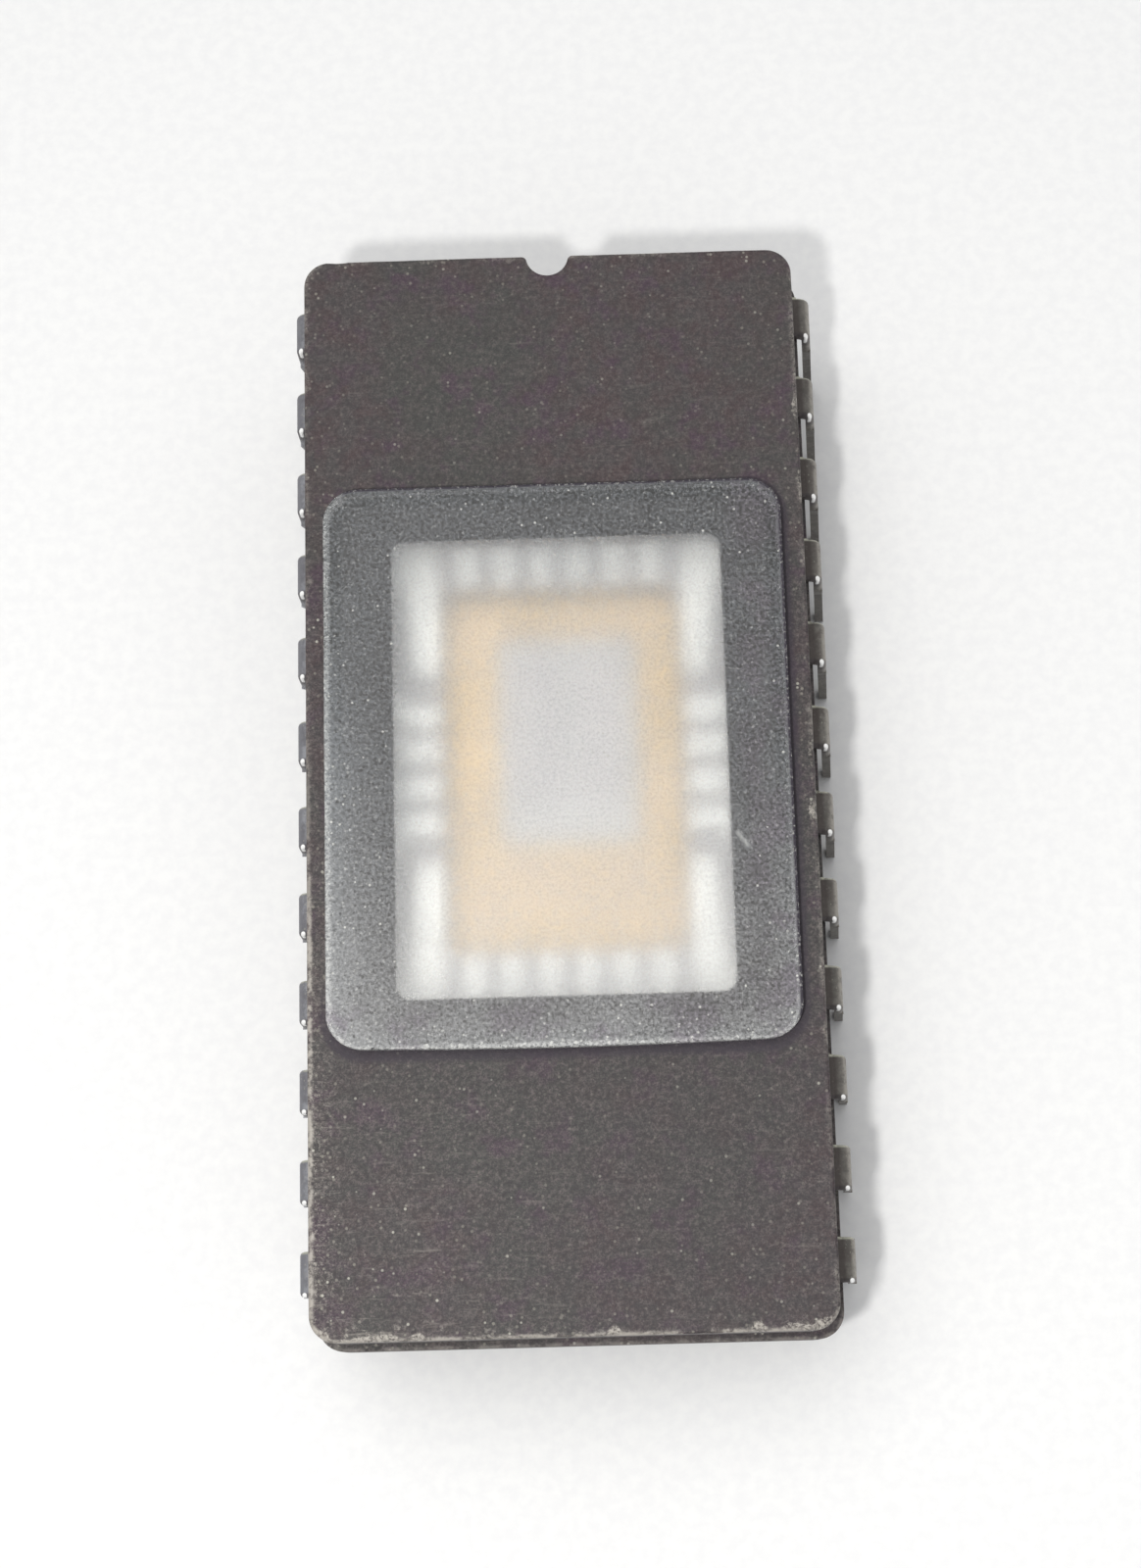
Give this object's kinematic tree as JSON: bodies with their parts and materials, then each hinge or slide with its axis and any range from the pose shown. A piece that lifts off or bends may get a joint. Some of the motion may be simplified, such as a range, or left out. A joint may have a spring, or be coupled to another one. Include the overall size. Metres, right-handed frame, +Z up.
{
  "type": "windowed ceramic memory chip",
  "caption": "Ceramic dual in-line memory chip: two dark ceramic halves, a frosted window over the die, and a row of formed leads down each side.",
  "frame": {"origin": "middle of the pattern of leads, in the plane of their tips", "axes": "+Y points to the notched end, X runs across the two rows of leads with +X towards leads 13 to 24, +Z points up through the window"},
  "size_m": [0.016, 0.0315, 0.0087],
  "materials": {
    "dark_ceramic": "fired dark brown-grey alumina, matt, with pale worn edges",
    "sealing_glass": "grey vitreous sealing glass, satin",
    "window_sealing_glass": "dark sealing glass under the pane",
    "frosted_glass": "frosted ultraviolet-passing glass",
    "fired_gold": "fired gold paste, satin",
    "gold_silicon_bond": "gold and silicon eutectic, satin",
    "silicon": "polished silicon with a fine cell pattern",
    "tinned_lead": "dull oxidised tin over an iron-nickel alloy",
    "bond_aluminium": "drawn aluminium wire"
  },
  "bodies": {
    "root": {"ceramic_base": "dark_ceramic", "gold_pad": "fired_gold", "die_attach": "gold_silicon_bond", "silicon_die": "silicon", "seal_glass": "sealing_glass", "ceramic_cap": "dark_ceramic", "window_seal": "window_sealing_glass", "window_pane": "frosted_glass", "lead_01": "tinned_lead", "lead_02": "tinned_lead", "lead_03": "tinned_lead", "lead_04": "tinned_lead", "lead_05": "tinned_lead", "lead_06": "tinned_lead", "lead_07": "tinned_lead", "lead_08": "tinned_lead", "lead_09": "tinned_lead", "lead_10": "tinned_lead", "lead_11": "tinned_lead", "lead_12": "tinned_lead", "lead_13": "tinned_lead", "lead_14": "tinned_lead", "lead_15": "tinned_lead", "lead_16": "tinned_lead", "lead_17": "tinned_lead", "lead_18": "tinned_lead", "lead_19": "tinned_lead", "lead_20": "tinned_lead", "lead_21": "tinned_lead", "lead_22": "tinned_lead", "lead_23": "tinned_lead", "lead_24": "tinned_lead", "bond_wire_01": "bond_aluminium", "bond_wire_02": "bond_aluminium", "bond_wire_03": "bond_aluminium", "bond_wire_04": "bond_aluminium", "bond_wire_05": "bond_aluminium", "bond_wire_06": "bond_aluminium", "bond_wire_07": "bond_aluminium", "bond_wire_08": "bond_aluminium", "bond_wire_09": "bond_aluminium", "bond_wire_10": "bond_aluminium", "bond_wire_11": "bond_aluminium", "bond_wire_12": "bond_aluminium", "bond_wire_13": "bond_aluminium", "bond_wire_14": "bond_aluminium", "bond_wire_15": "bond_aluminium", "bond_wire_16": "bond_aluminium", "bond_wire_17": "bond_aluminium", "bond_wire_18": "bond_aluminium", "bond_wire_19": "bond_aluminium", "bond_wire_20": "bond_aluminium", "bond_wire_21": "bond_aluminium", "bond_wire_22": "bond_aluminium", "bond_wire_23": "bond_aluminium", "bond_wire_24": "bond_aluminium"}
  },
  "joints": []
}
